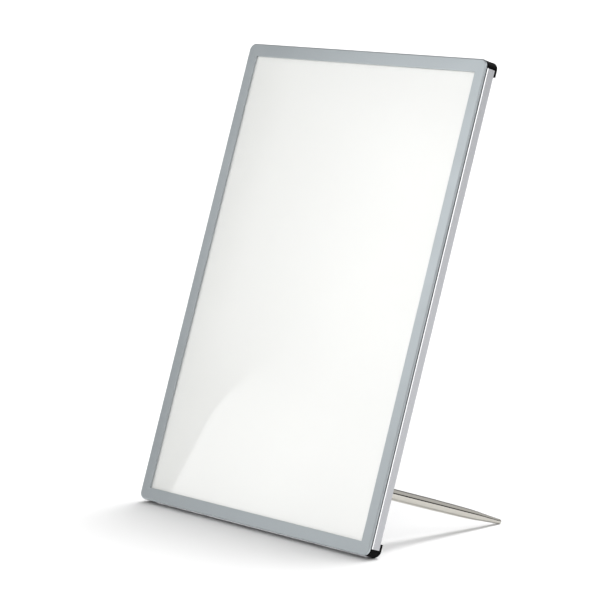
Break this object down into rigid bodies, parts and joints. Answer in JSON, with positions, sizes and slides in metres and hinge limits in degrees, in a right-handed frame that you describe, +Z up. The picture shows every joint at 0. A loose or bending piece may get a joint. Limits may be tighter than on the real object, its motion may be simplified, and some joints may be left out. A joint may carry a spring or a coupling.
{
  "type": "light table",
  "caption": "Slim aluminium-framed LED light table with a flat opal lit face, leaning back on screw-in tapered metal legs.",
  "frame": {"origin": "middle of the footprint, on the surface that the table stands on", "axes": "+Z up; +X to the right seen from the lit face; the lit face looks towards -Y and leans back 18.2 degrees from the vertical"},
  "size_m": [0.321, 0.192, 0.4255],
  "materials": {
    "bezel_aluminium": "satin anodised, fine blasted",
    "rail_aluminium": "satin anodised extrusion",
    "black_plastic": "moulded, satin",
    "black_foam": "closed-cell foam, matt",
    "black_rubber": "matt",
    "opal_acrylic": "glossy opal white",
    "white_film": "matt white",
    "clear_acrylic": "clear, polished edges",
    "back_sheet": "powder coated, fine texture",
    "led_strip_white": "white solder mask",
    "board_green": "green solder mask",
    "wire_red": "satin",
    "wire_black": "satin",
    "zinc_steel": "zinc plated",
    "polished_nickel": "polished nickel plate",
    "screw_black": "black oxide",
    "screw_steel": "zinc plated"
  },
  "bodies": {
    "panel": {"front_bezel": "bezel_aluminium", "bezel_gasket": "black_foam", "side_rail_left": "rail_aluminium", "side_rail_right": "rail_aluminium", "top_rail": "rail_aluminium", "bottom_rail": "rail_aluminium", "corner_cap_bottom_left": "black_plastic", "corner_cap_bottom_right": "black_plastic", "corner_cap_top_left": "black_plastic", "corner_cap_top_right": "black_plastic", "opal_diffuser": "opal_acrylic", "diffusion_film": "white_film", "light_guide": "clear_acrylic", "reflector_sheet": "white_film", "backing_foam": "black_foam", "back_panel": "back_sheet", "led_strip_left": "led_strip_white", "led_strip_right": "led_strip_white", "control_board": "board_green", "switch_body": "black_plastic", "dc_inlet": "black_plastic", "wire_red": "wire_red", "wire_black": "wire_black", "leg_socket_left": "zinc_steel", "leg_socket_right": "zinc_steel", "back_screw_01": "screw_black", "back_screw_02": "screw_black", "back_screw_03": "screw_black", "back_screw_04": "screw_black", "back_screw_05": "screw_black", "back_screw_06": "screw_black", "back_screw_07": "screw_black", "back_screw_08": "screw_black", "back_screw_09": "screw_black", "back_screw_10": "screw_black", "corner_screw_bottom_left": "screw_black", "corner_screw_bottom_right": "screw_black", "corner_screw_top_left": "screw_black", "corner_screw_top_right": "screw_black", "socket_screw_left_1": "screw_steel", "socket_screw_left_2": "screw_steel", "socket_screw_left_3": "screw_steel", "socket_screw_right_1": "screw_steel", "socket_screw_right_2": "screw_steel", "socket_screw_right_3": "screw_steel"},
    "power_button": {"power_button": "black_plastic"},
    "leg_washer_right": {"leg_washer_right": "black_rubber"},
    "leg_right": {"leg_right": "polished_nickel"},
    "leg_washer_left": {"leg_washer_left": "black_rubber"},
    "leg_left": {"leg_left": "polished_nickel"}
  },
  "joints": [
    {"name": "power_button_press", "type": "slide", "parent": "panel", "child": "power_button", "axis": [1, 0, 0], "range_m": [0, 0.0004], "stiffness_N_per_m": 2000},
    {"name": "leg_right_travel", "type": "slide", "parent": "panel", "child": "leg_washer_right", "axis": [0, 0.95, -0.3123], "range_m": [0, 0.004]},
    {"name": "leg_right_unscrew", "type": "hinge", "parent": "leg_washer_right", "child": "leg_right", "pos_m": [0.1282, -0.06308, 0.05383], "axis": [0, 0.95, -0.3123], "range_deg": [0, 1445]},
    {"name": "leg_left_travel", "type": "slide", "parent": "panel", "child": "leg_washer_left", "axis": [0, 0.95, -0.3123], "range_m": [0, 0.004]},
    {"name": "leg_left_unscrew", "type": "hinge", "parent": "leg_washer_left", "child": "leg_left", "pos_m": [-0.1282, -0.06308, 0.05383], "axis": [0, 0.95, -0.3123], "range_deg": [0, 1445]}
  ],
  "couplings": [
    {"joint": "leg_right_unscrew", "follows": "leg_right_travel", "rad_per_m": 6283.2},
    {"joint": "leg_left_unscrew", "follows": "leg_left_travel", "rad_per_m": 6283.2}
  ]
}
